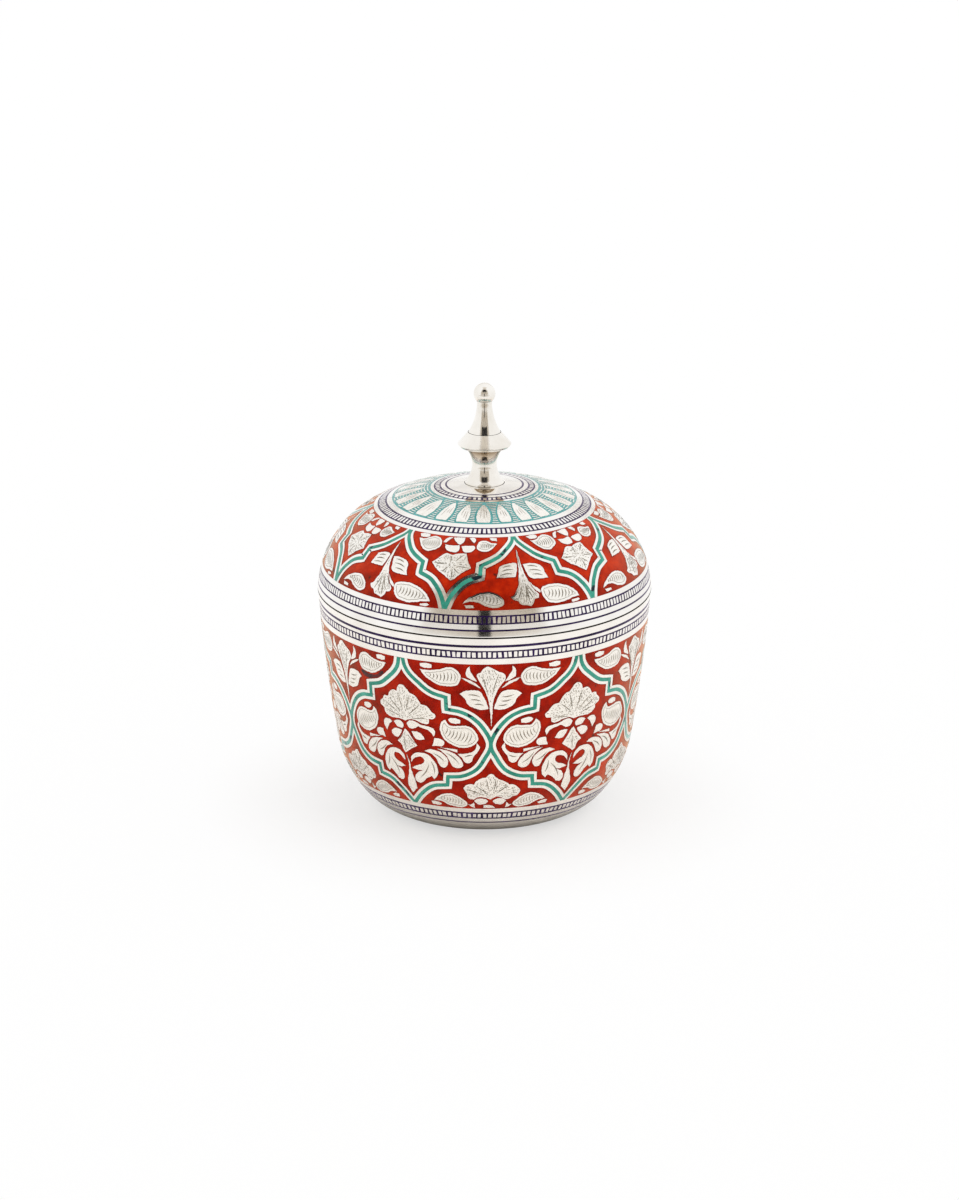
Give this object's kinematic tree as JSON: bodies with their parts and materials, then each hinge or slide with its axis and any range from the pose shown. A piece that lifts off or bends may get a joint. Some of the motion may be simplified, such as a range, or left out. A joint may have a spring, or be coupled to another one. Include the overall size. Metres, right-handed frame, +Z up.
{
  "type": "round lidded box",
  "caption": "Round flat-bottomed metal box with a domed lift-off lid, a turned finial and enamelled floral bands.",
  "frame": {"origin": "centre of the flat base", "axes": "+Z up the box's axis, towards the finial; the pictured side faces -Y"},
  "size_m": [0.102, 0.102, 0.133],
  "materials": {
    "plated_brass": "polished, plated silver white",
    "brass_hardware": "satin",
    "violet_enamel": "gloss",
    "red_enamel": "gloss",
    "teal_enamel": "gloss"
  },
  "bodies": {
    "bowl": {"bowl_shell": "plated_brass", "mouth_collar": "plated_brass", "bowl_rim_line_enamel": "violet_enamel", "bowl_rim_ladder_enamel": "violet_enamel", "bowl_foot_ladder_enamel": "violet_enamel", "bowl_foot_line_enamel": "violet_enamel", "bowl_field_enamel": "red_enamel"},
    "lid": {"lid_shell": "plated_brass", "finial": "plated_brass", "finial_washer": "brass_hardware", "finial_nut": "brass_hardware", "lid_rim_line_enamel": "violet_enamel", "lid_rim_ladder_enamel": "violet_enamel", "lid_shoulder_ladder_enamel": "violet_enamel", "lid_crown_ladder_enamel": "violet_enamel", "lid_crown_line_enamel": "violet_enamel", "lid_field_enamel": "red_enamel", "lid_rosette_enamel": "teal_enamel"}
  },
  "joints": [
    {"name": "lid_lift", "type": "slide", "parent": "bowl", "child": "lid", "axis": [0, 0, 1], "range_m": [0, 0.08]}
  ]
}
